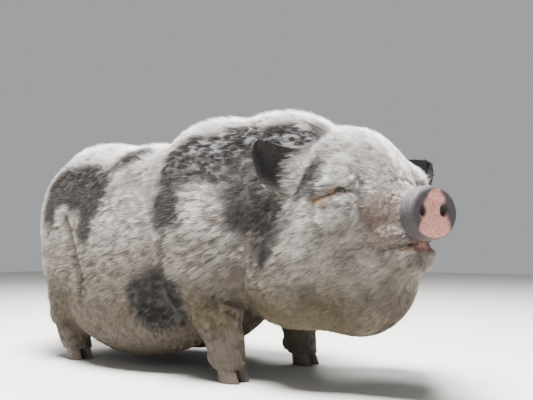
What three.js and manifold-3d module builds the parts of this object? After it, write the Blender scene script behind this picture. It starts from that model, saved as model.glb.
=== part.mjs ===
// Pot-bellied pig, standing, its head turned to its own right. Life size, in millimetres.
// +X runs forward, +Y to the pig's left and +Z up, with the soles at Z = 0.
// The flesh is a field of named forms. A form gives the distance from a point to its surface, below 0 inside.
// Lofts read the field ring by ring along a spine, so neighbouring pieces share one outline where they part.
import * as THREE from 'three';
import Module from 'manifold-3d';
import { mergeVertices } from 'three/addons/utils/BufferGeometryUtils.js';

const wasm = await Module();
wasm.setup();

// Driving sizes
const GAP = 0.3;
const NECK_PLANE = 300;
const HEAD_PLANE = -60;
const DISC_PLANE = 154;
const MOUTH_CORNER = 64;
const SKULL = [455, -36, 335];
const HEAD_YAW = -25;
const EYE_RADIUS = 12;
const EAR_THICKNESS = 5;
const CLAW_HEIGHT = 25;
const TAIL_RADIUS = 12;

// Reading the field
const REACH = 330;
const STRIDE = 5;
const HALVINGS = 12;
const TINY = 1e-6;
const FULL_TURN = Math.PI * 2;

const skinColour = new THREE.MeshStandardMaterial({ color: 0xa8a096, roughness: 0.85 });
const darkSkin = new THREE.MeshStandardMaterial({ color: 0x4a4644, roughness: 0.85 });
const snoutSkin = new THREE.MeshStandardMaterial({ color: 0xc79a92, roughness: 0.6 });
const eyeball = new THREE.MeshStandardMaterial({ color: 0x241812, roughness: 0.15 });
const clawHorn = new THREE.MeshStandardMaterial({ color: 0x35302c, roughness: 0.6 });

// Points are plain [x, y, z] lists
const mix = (a, b, t) => a + (b - a) * t;
const mixPoint = (p, q, t) => p.map((v, i) => mix(v, q[i], t));
const add = (p, q, scale = 1) => p.map((v, i) => v + q[i] * scale);
const clamp = (v, low, high) => Math.min(Math.max(v, low), high);
const radians = (degrees) => degrees * Math.PI / 180;

// A form's own axes: forward, left and up, after a turn about Z and a lift of its front
function axes(yaw = 0, pitch = 0) {
  const [cy, sy] = [Math.cos(radians(yaw)), Math.sin(radians(yaw))];
  const [cp, sp] = [Math.cos(radians(pitch)), Math.sin(radians(pitch))];
  return [[cy * cp, sy * cp, sp], [-sy, cy, 0], [-cy * sp, -sy * sp, cp]];
}
const along = (p, axis) => p[0] * axis[0] + p[1] * axis[1] + p[2] * axis[2];

function ellipsoid(centre, radii, yaw, pitch) {
  const frame = axes(yaw, pitch);
  return (p) => {
    const offset = add(p, centre, -1);
    const [u, v, w] = frame.map((axis, i) => along(offset, axis) / radii[i]);
    const inner = Math.sqrt(u * u + v * v + w * w);
    const slope = Math.sqrt((u / radii[0]) ** 2 + (v / radii[1]) ** 2 + (w / radii[2]) ** 2);
    return inner * (inner - 1) / Math.max(slope, TINY);
  };
}

// A tapered round limb from one point to another
function limb(from, to, fromRadius, toRadius) {
  const span = add(to, from, -1);
  const length = along(span, span);
  return (p) => {
    const offset = add(p, from, -1);
    const t = clamp(along(offset, span) / length, 0, 1);
    const [x, y, z] = add(offset, span, -t);
    return Math.sqrt(x * x + y * y + z * z) - mix(fromRadius, toRadius, t);
  };
}

function soften(a, b, k) {
  const h = Math.max(k - Math.abs(a - b), 0) / k;
  return Math.min(a, b) - h * h * k / 4;
}

// The first form, then each [softness, form] melted on in turn
function blend(first, ...rest) {
  return (p) => rest.reduce((d, [k, form]) => soften(d, form(p), k), first(p));
}

// Forms given on the right side stand on both
const bothSides = (form) => ([x, y, z]) => form([x, -Math.abs(y), z]);

const headAxes = axes(HEAD_YAW);
const toHead = (p) => headAxes.map((axis) => along(add(p, SKULL, -1), axis));
const fromHead = (p) => headAxes.reduce((sum, axis, i) => add(sum, axis, p[i]), SKULL);
const inHead = (form) => (p) => form(toHead(p));

// Flesh of the trunk
const rump = ellipsoid([-218, 0, 315], [182, 158, 162]);
const loin = ellipsoid([-60, 0, 312], [220, 165, 142]);
const barrel = ellipsoid([-10, 0, 280], [250, 192, 168]);
const belly = ellipsoid([-30, -70, 158], [222, 128, 142]);
const ham = ellipsoid([-240, -90, 235], [90, 70, 145]);
const chest = ellipsoid([140, 0, 318], [200, 165, 178]);
const shoulder = ellipsoid([165, -118, 250], [112, 78, 150]);
const trunk = bothSides(blend(
  rump,
  [40, loin],
  [40, barrel],
  [60, belly],
  [30, ham],
  [16, blend(chest, [40, shoulder])],
));

// Flesh of the neck, a little to the right, after the head
const nape = ellipsoid([270, -6, 325], [160, 128, 160]);
const crestFat = ellipsoid([280, -8, 372], [170, 92, 100]);
const brisket = ellipsoid([310, -15, 190], [110, 112, 105]);
const neckFlesh = blend(nape, [50, crestFat], [40, brisket]);

// Flesh of the head, in the head's own frame
const braincase = ellipsoid([-20, 0, 15], [100, 94, 82]);
const forehead = ellipsoid([-20, 0, 40], [108, 78, 58], 0, -27);
const dishedFace = ellipsoid([42, 0, 8], [82, 56, 46], 0, -32);
const muzzle = limb([30, 0, -38], [138, 0, -52], 64, 36);
const cheekMuscle = ellipsoid([0, -58, -50], [82, 62, 72]);
const throat = ellipsoid([-16, 0, -140], [132, 90, 112]);
const lowerJaw = limb([40, 0, -128], [140, 0, -114], 56, 27);
const jowl = ellipsoid([-80, -80, -131], [104, 88, 112]);
const brow = ellipsoid([36, -64, 22], [46, 28, 24], 10, -12);
const cheekPad = ellipsoid([50, -64, -38], [44, 30, 30]);
const upperLip = ellipsoid([105, -26, -82], [48, 24, 18]);
const lowerLip = ellipsoid([122, -14, -108], [42, 20, 14]);
const jawFlesh = bothSides(blend(throat, [24, lowerJaw], [50, jowl], [12, lowerLip]));
const headFlesh = bothSides(blend(
  braincase,
  [30, forehead],
  [30, dishedFace],
  [30, muzzle],
  [30, cheekMuscle],
  [35, throat],
  [24, lowerJaw],
  [50, jowl],
  [16, brow],
  [12, cheekPad],
  [14, upperLip],
  [12, lowerLip],
));
const HEAD_SOFTNESS = 16;
const NAPE_SOFTNESS = 60;

// The neck melts into the trunk, softly at the brisket and more sharply above it
const BRISKET_HEIGHT = 260;
function trunkAndNeck(p) {
  const softness = mix(110, 22, clamp(p[2] / BRISKET_HEIGHT, 0, 1));
  return soften(trunk(p), neckFlesh(p), softness);
}
const flesh = blend(trunkAndNeck, [HEAD_SOFTNESS, inHead(headFlesh)]);

// How far the field's surface lies from a point along a way, found from outside
function reach(field, from, way, grow = 0) {
  let low = REACH;
  while (low > 0 && field(add(from, way, low)) > grow) {
    low -= STRIDE;
  }
  let high = low + STRIDE;
  for (let i = 0; i < HALVINGS; i++) {
    const middle = (low + high) / 2;
    if (field(add(from, way, middle)) > grow) {
      high = middle;
    } else {
      low = middle;
    }
  }
  return low;
}
const surfacePoint = (field, from, way, grow) => add(from, way, reach(field, from, way, grow));

// A ring of surface points in the plane across a spine that runs along yaw
function ring(field, at, yaw, sides, grow) {
  const [, left, up] = axes(yaw);
  return Array.from({ length: sides }, (_, i) => {
    const angle = FULL_TURN * i / sides;
    const way = left.map((v, j) => v * Math.cos(angle) + up[j] * Math.sin(angle));
    return surfacePoint(field, at, way, grow);
  });
}

// One closed body through rings of equal count, ending in the points first and last
function loft(rings, first, last) {
  const sides = rings[0].length;
  const points = [first, ...rings.flat(), last];
  const end = points.length - 1;
  const faces = [];
  for (let i = 0; i < sides; i++) {
    const next = (i + 1) % sides;
    faces.push(0, 1 + next, 1 + i);
    for (let r = 0; r < rings.length - 1; r++) {
      const [a, b] = [1 + r * sides + i, 1 + r * sides + next];
      faces.push(a, b, b + sides, a, b + sides, a + sides);
    }
    faces.push(end, end - sides + i, end - sides + next);
  }
  const geometry = new THREE.BufferGeometry();
  geometry.setAttribute('position', new THREE.Float32BufferAttribute(points.flat(), 3));
  geometry.setIndex(faces);
  return geometry;
}

// Between three.js geometry and a solid that can be joined and cut
function solid(geometry) {
  const bare = new THREE.BufferGeometry();
  bare.setAttribute('position', geometry.getAttribute('position').clone());
  bare.setIndex(geometry.getIndex() ? Array.from(geometry.getIndex().array) : null);
  const merged = mergeVertices(bare, 1e-4);
  const make = (faces) => new wasm.Manifold(new wasm.Mesh({
    numProp: 3,
    vertProperties: new Float32Array(merged.getAttribute('position').array),
    triVerts: new Uint32Array(faces),
  }));
  const faces = Array.from(merged.getIndex().array);
  const body = make(faces);
  return body.volume() > 0 ? body : make(faces.reverse());
}
const joined = (pieces) => pieces.reduce((sum, piece) => sum.add(piece));
const less = (body, ...cuts) => cuts.reduce((rest, cut) => rest.subtract(cut), body);

function geometryOf(body) {
  const largest = body.decompose().reduce((a, b) => (b.volume() > a.volume() ? b : a));
  const mesh = largest.getMesh();
  const geometry = new THREE.BufferGeometry();
  geometry.setAttribute('position', new THREE.BufferAttribute(mesh.vertProperties, 3));
  geometry.setIndex(new THREE.BufferAttribute(mesh.triVerts, 1));
  geometry.computeVertexNormals();
  return geometry;
}

const pig = new THREE.Group();
function place(name, body, material) {
  const mesh = new THREE.Mesh(geometryOf(body), material);
  mesh.name = name;
  pig.add(mesh);
}

// A solid ball, stretched and turned, for sockets, nostrils and eyes
function ball(centre, radii, yaw = 0, pitch = 0, facets = 16) {
  const geometry = new THREE.SphereGeometry(1, facets, facets / 2);
  const [forward, left, up] = axes(yaw, pitch);
  const frame = new THREE.Matrix4().makeBasis(
    new THREE.Vector3(...forward).multiplyScalar(radii[0]),
    new THREE.Vector3(...left).multiplyScalar(radii[1]),
    new THREE.Vector3(...up).multiplyScalar(radii[2]),
  );
  frame.setPosition(...centre);
  return solid(geometry.applyMatrix4(frame));
}

// Torso, from the rump's end to the neck plane
const TORSO_RINGS = 24;
const TORSO_SIDES = 44;
const REAR_SHARE = 0.25;
const SPINE_LOW = 262;
const SPINE_REAR = 300;
const SPINE_FRONT = 290;
function torsoSpine(x) {
  const rise = clamp(Math.abs(x) / 275, 0, 1);
  return [x, 0, mix(SPINE_LOW, x < 0 ? SPINE_REAR : SPINE_FRONT, rise)];
}
function torsoLoft(grow, end) {
  const rear = surfacePoint(trunk, torsoSpine(-260), [-1, 0, 0], grow);
  const rings = [];
  for (let i = 1; i <= TORSO_RINGS; i++) {
    const t = i / TORSO_RINGS;
    const ahead = clamp((t - REAR_SHARE) / (1 - REAR_SHARE), 0, 1);
    const x = mix(rear[0], end, t < REAR_SHARE ? 2.4 * t * t : mix(0.15, 1, ahead * (1.4 - 0.4 * ahead)));
    rings.push(ring(trunkAndNeck, torsoSpine(x), 0, TORSO_SIDES, grow));
  }
  return solid(loft(rings, rear, torsoSpine(end)));
}
const torso = torsoLoft(0, NECK_PLANE - GAP / 2);
const torsoGrown = torsoLoft(GAP, NECK_PLANE);

// Neck, a wedge that turns from the trunk's line to the head's
const NECK_RINGS = 6;
const headSpine = (x) => fromHead([x, 0, mix(-62, -50, clamp((x + 60) / 210, 0, 1))]);
function neckLoft(grow) {
  const start = [NECK_PLANE + GAP / 2 - grow, 0, torsoSpine(NECK_PLANE)[2]];
  const end = headSpine(HEAD_PLANE - GAP / 2 + grow);
  const rings = [];
  for (let i = 0; i <= NECK_RINGS; i++) {
    const t = i / NECK_RINGS;
    const melted = blend(trunkAndNeck, [mix(NAPE_SOFTNESS, HEAD_SOFTNESS, t), inHead(headFlesh)]);
    rings.push(ring(melted, mixPoint(start, end, t), HEAD_YAW * t, TORSO_SIDES, grow));
  }
  return solid(loft(rings, start, end));
}
const neck = neckLoft(0);
const neckGrown = neckLoft(GAP);

// A block right across the mouth, given by its side outline in the head's frame
function acrossMouth(outline) {
  const HALF_WIDTH = 200;
  const sides = [-HALF_WIDTH, HALF_WIDTH].map((y) => outline.map(([x, z]) => fromHead([x, y, z])));
  const middle = (points) => points.reduce((sum, p) => add(sum, p, 1 / points.length), [0, 0, 0]);
  return solid(loft(sides, middle(sides[0]), middle(sides[1])));
}

// Head above the mouth, and the lower jaw below it
const HEAD_RINGS = 24;
const HEAD_SIDES = 56;
const MOUTH_CORNER_Z = -116;
const MOUTH_FRONT = 190;
const UPPER_LIP_Z = -86;
const LOWER_LIP_Z = -93;
const FAR_BELOW = -330;
const FAR_ABOVE = 60;
function headLoft(grow) {
  const start = HEAD_PLANE + GAP / 2 - grow;
  const end = DISC_PLANE - GAP / 2 + grow;
  const rings = [];
  for (let i = 0; i <= HEAD_RINGS; i++) {
    rings.push(ring(flesh, headSpine(mix(start, end, i / HEAD_RINGS)), HEAD_YAW, HEAD_SIDES, grow));
  }
  return solid(loft(rings, headSpine(start), headSpine(end)));
}
const belowMouth = acrossMouth([
  [MOUTH_CORNER, FAR_BELOW],
  [MOUTH_FRONT, FAR_BELOW],
  [MOUTH_FRONT, UPPER_LIP_Z],
  [MOUTH_CORNER, MOUTH_CORNER_Z],
]);
const aboveMouth = acrossMouth([
  [MOUTH_CORNER - 20, MOUTH_CORNER_Z - GAP],
  [MOUTH_CORNER, MOUTH_CORNER_Z - GAP],
  [MOUTH_FRONT, LOWER_LIP_Z],
  [MOUTH_FRONT, FAR_ABOVE],
  [MOUTH_CORNER - 20, FAR_ABOVE],
]);
const JAW_RINGS = 10;
const JAW_SIDES = 32;
const jawSpine = (t) => fromHead([mix(MOUTH_CORNER + GAP, 150, t), 0, mix(-150, -114, Math.min(t * 1.4, 1))]);
function jawBody() {
  const rings = [];
  for (let i = 0; i <= JAW_RINGS; i++) {
    rings.push(ring(inHead(jawFlesh), jawSpine(i / JAW_RINGS), HEAD_YAW, JAW_SIDES));
  }
  const chin = surfacePoint(inHead(jawFlesh), jawSpine(1), headAxes[0]);
  for (const t of [0.5, 0.85]) {
    const at = mixPoint(jawSpine(1), chin, t);
    rings.push(ring(inHead(jawFlesh), at, HEAD_YAW, JAW_SIDES));
  }
  return solid(loft(rings, jawSpine(0), chin));
}

// Eyes, deep under the brow, with a slit between the lids
const EYE_X = 56;
const EYE_Z = -12;
const EYE_DEPTH = 14;
const LID_RISE = 6;
const LID_TILT = -1.5;
const eyeSurface = surfacePoint(headFlesh, [EYE_X, 0, EYE_Z], [0, -1, 0]);
const mirror = (p, side) => [p[0], p[1] * side, p[2]];
function eyeCentre(side) {
  return fromHead(mirror(add(eyeSurface, [0, EYE_DEPTH, 0]), side));
}
function lidSlit(side) {
  const LENGTH = 18;
  const HALF_OPEN = 2.6;
  const OUT = 16;
  return ball(fromHead(mirror(eyeSurface, side)), [LENGTH, OUT, HALF_OPEN], HEAD_YAW, -6, 12);
}
function lid(side, rise, drop) {
  const points = [-1, -0.6, -0.2, 0.2, 0.6, 1].map((t) => {
    const z = EYE_Z + rise * (1 - t * t) + drop * t;
    const out = surfacePoint(headFlesh, [EYE_X + t * 20, 0, z], [0, -1, 0]);
    return fromHead(mirror(out, side));
  });
  const LID_RADIUS = 3.2;
  const rings = points.map((at, i) => {
    const radius = LID_RADIUS * (i % 5 === 0 ? 0.5 : 1);
    return circle(at, HEAD_YAW, radius, radius, 6);
  });
  return solid(loft(rings, points[0], points[5]));
}

// A ring across yaw with the given half width and half height
function circle(at, yaw, halfWidth, halfHeight, sides) {
  const [, left, up] = axes(yaw);
  return Array.from({ length: sides }, (_, i) => {
    const angle = FULL_TURN * i / sides;
    return add(add(at, left, Math.cos(angle) * halfWidth), up, Math.sin(angle) * halfHeight);
  });
}

// Bristles: a low crest of flat, tapered locks along the topline, leaning back and bending to lie along it
const LOCK_LENGTH = 50;
const LOCK_WIDTH = 25;
const LOCK_THICKNESS = 4.5;
const LOCK_SINK = 8;
const LOCK_LIFT = 0.3;
const LOCK_RUN = 0.9;
const LOCK_BEND = 0.86;
const LOCK_SWAY = 12;
const LOCK_STATIONS = [[0, 0.8], [0.35, 1], [0.7, 0.72], [0.9, 0.35]];
const CREST_STEP = 19;
const CREST_SPREAD = 5;
const CREST_REAR = -330;
const NECK_CREST_START = 0.55;
const CREST_FRONT = 26;
const CREST_MARGIN = 52;
const DRAW_FACTOR = 16807;
const DRAW_LIMIT = 2147483647;
let draw = 11;
function random() {
  draw = (draw * DRAW_FACTOR) % DRAW_LIMIT;
  return draw / DRAW_LIMIT;
}
function cross(a, b) {
  return [a[1] * b[2] - a[2] * b[1], a[2] * b[0] - a[0] * b[2], a[0] * b[1] - a[1] * b[0]];
}
function unit(a) {
  const size = Math.sqrt(along(a, a));
  return a.map((v) => v / size);
}

// A lock from its sunk root: it rises off the skin by lift, and bends back towards it along its way
function lock(root, normal, way, length, width, thick, lift) {
  const side = unit(cross(way, normal));
  const at = (t) => {
    const sunk = LOCK_SINK * (1 - Math.min(t, 0.5));
    const rise = length * lift * Math.sin(t * Math.PI * LOCK_BEND) - sunk;
    return add(add(root, way, length * t * LOCK_RUN), normal, rise);
  };
  const rings = LOCK_STATIONS.map(([t, size]) => [[1, 0], [0, 1], [-1, 0], [0, -1]].map(([u, v]) => (
    add(add(at(t), side, u * width * size / 2), normal, v * thick * size / 2)
  )));
  return solid(loft(rings, at(0), at(1)));
}

// Locks lie by turns left and right of the topline, from one place on a spine to another, each over the next
function crest(field, spine, yaw, from, to) {
  const [, left, up] = axes(yaw);
  const locks = [];
  const count = Math.floor(Math.abs(spine(to)[0] - spine(from)[0]) / CREST_STEP);
  const stretch = (to - from) / count * LOCK_LENGTH / CREST_STEP;
  for (let i = 0; i <= count; i++) {
    const lean = radians((i % 2 ? 1 : -1) * CREST_SPREAD + (random() - 0.5) * 4);
    const x = mix(from, to, (i + (random() - 0.5) * 0.4) / count);
    const normal = left.map((v, k) => v * Math.sin(lean) + up[k] * Math.cos(lean));
    const root = surfacePoint(field, spine(x), normal);
    const behind = add(surfacePoint(field, spine(x - stretch), normal), left, (random() - 0.5) * LOCK_SWAY);
    const way = unit(add(behind, root, -1));
    const off = unit(cross(cross(way, normal), way));
    const length = LOCK_LENGTH * (0.85 + random() * 0.3);
    locks.push(lock(root, off, way, length, LOCK_WIDTH, LOCK_THICKNESS, LOCK_LIFT));
  }
  return locks;
}
const torsoCrest = crest(trunkAndNeck, torsoSpine, 0, CREST_REAR, NECK_PLANE - LOCK_SINK);
const neckSpine = (t) => mixPoint(torsoSpine(NECK_PLANE), headSpine(HEAD_PLANE), t);
const neckCrest = crest(flesh, neckSpine, HEAD_YAW / 2, NECK_CREST_START, 0.9);
const headCrest = crest(flesh, headSpine, HEAD_YAW, HEAD_PLANE + CREST_MARGIN, CREST_FRONT);

const lids = [-1, 1].flatMap((side) => [lid(side, LID_RISE, LID_TILT), lid(side, -LID_RISE, LID_TILT)]);
const head = less(
  joined([headLoft(0), ...headCrest, ...lids]),
  belowMouth,
  ...[-1, 1].flatMap((side) => [
    ball(eyeCentre(side), Array(3).fill(EYE_RADIUS + GAP)),
    lidSlit(side),
  ]),
);
const headGrown = headLoft(GAP);

place('torso', joined([torso, ...torsoCrest]), skinColour);
place('neck', joined([neck, ...neckCrest]), skinColour);
place('head', head, skinColour);
place('lower_jaw', less(jawBody(), aboveMouth), skinColour);
for (const [name, side] of [['eye_right', 1], ['eye_left', -1]]) {
  place(name, ball(eyeCentre(side), Array(3).fill(EYE_RADIUS)), eyeball);
}

// Snout disc, a thick gristle plate with two nostrils
const DISC_FRONT = 186;
const DISC_HALF_WIDTH = 45;
const DISC_HALF_HEIGHT = 40;
const DISC_Z = -50;
function snoutDisc() {
  const profile = [[0, 0.86], [6, 0.95], [14, 1], [23, 0.99], [29, 0.93], [32, 0.84]];
  const start = DISC_PLANE + GAP / 2;
  const rings = profile.map(([forward, size]) => {
    const at = fromHead([start + forward, 0, DISC_Z]);
    return circle(at, HEAD_YAW, DISC_HALF_WIDTH * size, DISC_HALF_HEIGHT * size, 36);
  });
  const NOSTRIL_APART = 17.5;
  const nostrils = [-1, 1].map((side) => (
    ball(fromHead([DISC_FRONT, side * NOSTRIL_APART, DISC_Z + 2]), [17, 7, 10], HEAD_YAW, 0, 16)
  ));
  const body = solid(loft(rings, fromHead([start, 0, DISC_Z]), fromHead([DISC_FRONT - 2, 0, DISC_Z])));
  return less(body, ...nostrils);
}
place('snout_disc', snoutDisc(), snoutSkin);

// Ears, cupped flaps that stand out sideways with the cup facing forward. The left one is pricked forward.
const EAR_RINGS = 10;
const EAR_STEPS = 7;
const EAR_CUP = 20;
const LEFT_EAR_SWING = 40;
const LEFT_EAR_DROP = 20;
const curve = (...points) => new THREE.CatmullRomCurve3(points.map((p) => new THREE.Vector3(...p)));
const upperEdge = curve([-52, -60, 66], [-52, -104, 72], [-52, -146, 82], [-50, -178, 84]);
const lowerEdge = curve(
  [-70, -78, 2],
  [-76, -118, -12],
  [-72, -156, -4],
  [-62, -182, 34],
  [-51, -184, 72],
);
function ear(side) {
  const rings = [];
  for (let i = 0; i <= EAR_RINGS; i++) {
    const t = i / EAR_RINGS;
    const upper = upperEdge.getPoint(t).toArray();
    const lower = lowerEdge.getPoint(t).toArray();
    const thick = EAR_THICKNESS * mix(1.6, 0.7, t);
    const cup = EAR_CUP * mix(1, 0.25, t * t);
    const [swing, drop] = side < 0 ? [LEFT_EAR_SWING * t, LEFT_EAR_DROP * t] : [0, 0];
    const rim = (s, back) => {
      const bow = 1 - (2 * s - 1) ** 2;
      const depth = -cup * bow - back * thick * (0.4 + 0.6 * Math.sqrt(bow));
      return fromHead(mirror(add(mixPoint(upper, lower, s), [depth + swing, 0, -drop]), side));
    };
    const front = Array.from({ length: EAR_STEPS }, (_, j) => rim(j / (EAR_STEPS - 1), 0));
    const back = Array.from({ length: EAR_STEPS }, (_, j) => rim(1 - j / (EAR_STEPS - 1), 1));
    rings.push([...front, ...back]);
  }
  const middle = (points) => points.reduce((sum, p) => add(sum, p, 1 / points.length), [0, 0, 0]);
  return less(solid(loft(rings, middle(rings[0]), middle(rings[EAR_RINGS]))), headGrown, neckGrown);
}
place('ear_right', ear(1), darkSkin);
place('ear_left', ear(-1), darkSkin);

// Legs, each a chain of joints [x, y, z, radius] from inside the trunk down to the claws
const FORE_LEG = [[176, 92, 236, 50], [186, 116, 180, 62], [210, 122, 116, 46], [226, 118, 74, 35],
  [230, 116, 46, 30], [238, 115, 29, 28]];
const HIND_LEG = [[-214, 84, 250, 52], [-200, 114, 190, 66], [-216, 120, 136, 48], [-230, 117, 100, 38],
  [-208, 116, 58, 31], [-190, 116, 29, 29]];
const LEG_RINGS = 14;
const LEG_SIDES = 16;
const TOP_SLOPE = 0.22;
function leg(chain, side) {
  const centres = new THREE.CatmullRomCurve3(chain.map(([x, y, z]) => new THREE.Vector3(x, y * -side, z)));
  const radii = new THREE.CatmullRomCurve3(chain.map(([, , z, radius]) => new THREE.Vector3(radius, 0, z)));
  const rings = [];
  for (let i = 0; i <= LEG_RINGS; i++) {
    const t = i / LEG_RINGS;
    const at = centres.getPoint(t).toArray();
    const radius = radii.getPoint(t).x;
    rings.push(Array.from({ length: LEG_SIDES }, (_, j) => {
      const angle = FULL_TURN * j / LEG_SIDES;
      const [dx, dy] = [Math.cos(angle) * radius, Math.sin(angle) * radius * 0.92];
      return [at[0] + dx, at[1] + dy, at[2] - dx * TOP_SLOPE];
    }));
  }
  const end = chain[chain.length - 1];
  const start = centres.getPoint(0).toArray();
  return less(solid(loft(rings, start, [end[0], end[1] * -side, end[2]])), torsoGrown);
}

// Two claws and two dewclaws on each foot, horn with flat soles
const CLAW_LENGTH = 46;
const CLAW_WIDTH = 24;
const CLEFT = 3;
function claw(foot, side, inner) {
  const [x, y, z] = foot;
  const centreY = y * -side + inner * (CLAW_WIDTH + CLEFT) / 2;
  const ringAt = (t) => Array.from({ length: 14 }, (_, i) => {
    const angle = FULL_TURN * i / 14;
    const taper = Math.cos(angle) > 0 ? 1 - 0.45 * Math.cos(angle) ** 2 : 1;
    const dx = Math.cos(angle) * CLAW_LENGTH / 2 * mix(1, 0.86, t) + mix(7, 0, t);
    const dy = Math.sin(angle) * CLAW_WIDTH / 2 * taper * mix(1, 0.94, t);
    const top = z - GAP - dx * TOP_SLOPE;
    return [x + dx, centreY + dy, top * t];
  });
  const rings = [0, 0.35, 0.7, 1].map(ringAt);
  return solid(loft(rings, [x + 7, centreY, 0], [x, centreY, z - GAP]));
}
function dewclaw(foot, side, inner) {
  const [x, y] = foot;
  const BACK = 34;
  const at = [x - BACK, y * -side + inner * 13, 40];
  return ball(at, [9, 8, 14], 0, 18, 10);
}
for (const [which, chain] of [['fore', FORE_LEG], ['hind', HIND_LEG]]) {
  const foot = chain[chain.length - 1];
  for (const [hand, side] of [['right', 1], ['left', -1]]) {
    const limbBody = leg(chain, side);
    const spurs = [-1, 1].map((inner) => dewclaw(foot, side, inner));
    place(`${which}leg_${hand}`, less(limbBody, ...spurs), skinColour);
    for (const [i, inner] of [-1, 1].entries()) {
      const edge = inner === side ? 'inner' : 'outer';
      place(`${which}claw_${hand}_${edge}`, claw(foot, side, inner), clawHorn);
      place(`${which}dewclaw_${hand}_${edge}`, less(spurs[i], leg(chain, side)), clawHorn);
    }
  }
}

// Tail, hanging straight behind the rump, with a switch of locks at its end
const TAIL_RINGS = 14;
const TAIL_SIDES = 12;
const TAIL_END_RADIUS = 6;
const SWITCH_LOCKS = 12;
const SWITCH_LENGTH = 74;
const SWITCH_WIDTH = 12;
const SWITCH_THICKNESS = 4.5;
const SWITCH_LIFT = 0.2;
const SWITCH_START = 0.82;
const SWITCH_SPAN = 0.13;
const tailCurve = curve(
  [-352, 0, 404],
  [-390, 0, 396],
  [-422, 0, 350],
  [-428, 4, 290],
  [-424, 6, 240],
  [-422, 4, 214],
);
function tail() {
  const rings = [];
  for (let i = 0; i <= TAIL_RINGS; i++) {
    const t = i / TAIL_RINGS;
    const at = tailCurve.getPoint(t).toArray();
    const pitch = Math.asin(clamp(tailCurve.getTangent(t).z, -1, 1));
    const radius = mix(TAIL_RADIUS, TAIL_END_RADIUS, t);
    rings.push(Array.from({ length: TAIL_SIDES }, (_, j) => {
      const angle = FULL_TURN * j / TAIL_SIDES;
      const [wide, across] = [Math.cos(angle) * radius, Math.sin(angle) * radius];
      return [at[0] + Math.sin(pitch) * across, at[1] + wide, at[2] + Math.cos(pitch) * across];
    }));
  }
  const [first, last] = [0, 1].map((t) => tailCurve.getPoint(t).toArray());
  const locks = [];
  for (let i = 0; i < SWITCH_LOCKS; i++) {
    const angle = FULL_TURN * (i + random() * 0.4) / SWITCH_LOCKS;
    const normal = [Math.cos(angle), Math.sin(angle), 0];
    const at = tailCurve.getPoint(SWITCH_START + SWITCH_SPAN * (i % 3) / 2).toArray();
    const root = add(at, normal, TAIL_END_RADIUS);
    const length = SWITCH_LENGTH * (0.75 + random() * 0.3);
    locks.push(lock(root, normal, [0, 0, -1], length, SWITCH_WIDTH, SWITCH_THICKNESS, SWITCH_LIFT));
  }
  return less(joined([solid(loft(rings, first, last)), ...locks]), torsoGrown);
}
place('tail', tail(), darkSkin);

// The origin goes to the middle of the floor under the pig
const bounds = new THREE.Box3().setFromObject(pig);
const middle = bounds.getCenter(new THREE.Vector3());
pig.position.set(-middle.x, -middle.y, 0);

export default pig;
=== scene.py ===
# Pot-bellied pig, standing, its head turned to its own right: the looks of the still, life-size model.
from math import atan, cos, pi, radians, sin

import bmesh
import bpy
import numpy as np
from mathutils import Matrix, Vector


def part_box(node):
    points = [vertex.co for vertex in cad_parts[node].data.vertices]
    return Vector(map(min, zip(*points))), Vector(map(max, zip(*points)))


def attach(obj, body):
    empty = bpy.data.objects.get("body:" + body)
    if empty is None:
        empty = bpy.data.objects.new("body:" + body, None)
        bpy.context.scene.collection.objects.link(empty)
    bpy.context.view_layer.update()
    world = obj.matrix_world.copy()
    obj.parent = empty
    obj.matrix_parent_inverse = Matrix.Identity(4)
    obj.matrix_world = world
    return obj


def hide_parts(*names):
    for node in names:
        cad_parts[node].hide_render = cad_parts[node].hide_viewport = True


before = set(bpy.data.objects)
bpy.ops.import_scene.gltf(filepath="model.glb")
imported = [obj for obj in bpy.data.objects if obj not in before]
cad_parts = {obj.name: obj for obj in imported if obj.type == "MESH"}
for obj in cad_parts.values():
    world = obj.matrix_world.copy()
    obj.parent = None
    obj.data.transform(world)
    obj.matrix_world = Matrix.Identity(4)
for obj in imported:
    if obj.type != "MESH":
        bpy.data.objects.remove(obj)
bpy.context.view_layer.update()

# Skin: one grey hide over trunk, neck, head, ears, legs and tail, thick and creased, with bare pink at the
# snout and lips. It is one mesh over the same named forms as the solids, sunk by the depth of the coat.
# The forms are in millimetres, in the frame of the solids' source before its origin moved under the model.
MM = 0.001
FORE_CLAW_TIP = 268.0
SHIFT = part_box("foreclaw_right_outer")[1][0] / MM - FORE_CLAW_TIP
SKULL = np.array((455, -36, 335), np.float32)
HEAD_YAW = -25
FAR = 1e3
rng = np.random.default_rng(7)


def turn(yaw, pitch=0):
    """Columns are a form's own forward, left and up axes. Pitch lifts its front."""
    cy, sy, cp, sp = cos(radians(yaw)), sin(radians(yaw)), cos(radians(pitch)), sin(radians(pitch))
    return np.array([[cy * cp, -sy, -cy * sp], [sy * cp, cy, -sy * sp], [sp, 0, cp]], np.float32)


HEAD_TURN = turn(HEAD_YAW)


def to_head(p):
    """Points in the head's own frame, x out along the snout, y to its left, z up."""
    return (p - SKULL) @ HEAD_TURN


def from_head(q):
    return np.asarray(q, np.float32) @ HEAD_TURN.T + SKULL


def folded(q):
    """Both sides brought to the right, so that a form given there stands on both."""
    right = q.copy()
    right[:, 1] = -np.abs(right[:, 1])
    return right


def length(v):
    return np.sqrt(np.einsum("ij,ij->i", v, v))


def ellipsoid(p, centre, radii, yaw=0, pitch=0):
    """Forms give the distance to their surface, below 0 inside."""
    q = p - np.array(centre, np.float32)
    if yaw or pitch:
        q = q @ turn(yaw, pitch)
    radii = np.array(radii, np.float32)
    inner = length(q / radii)
    return inner * (inner - 1) / (length(q / radii**2) + 1e-9)


def limb(p, start, end, start_radius, end_radius):
    """A round bar between two points, which may taper."""
    start = np.array(start, np.float32)
    span = np.array(end, np.float32) - start
    t = np.clip((p - start) @ span / (span @ span), 0, 1)
    return length(p - start - t[:, None] * span) - (start_radius + (end_radius - start_radius) * t)


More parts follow.
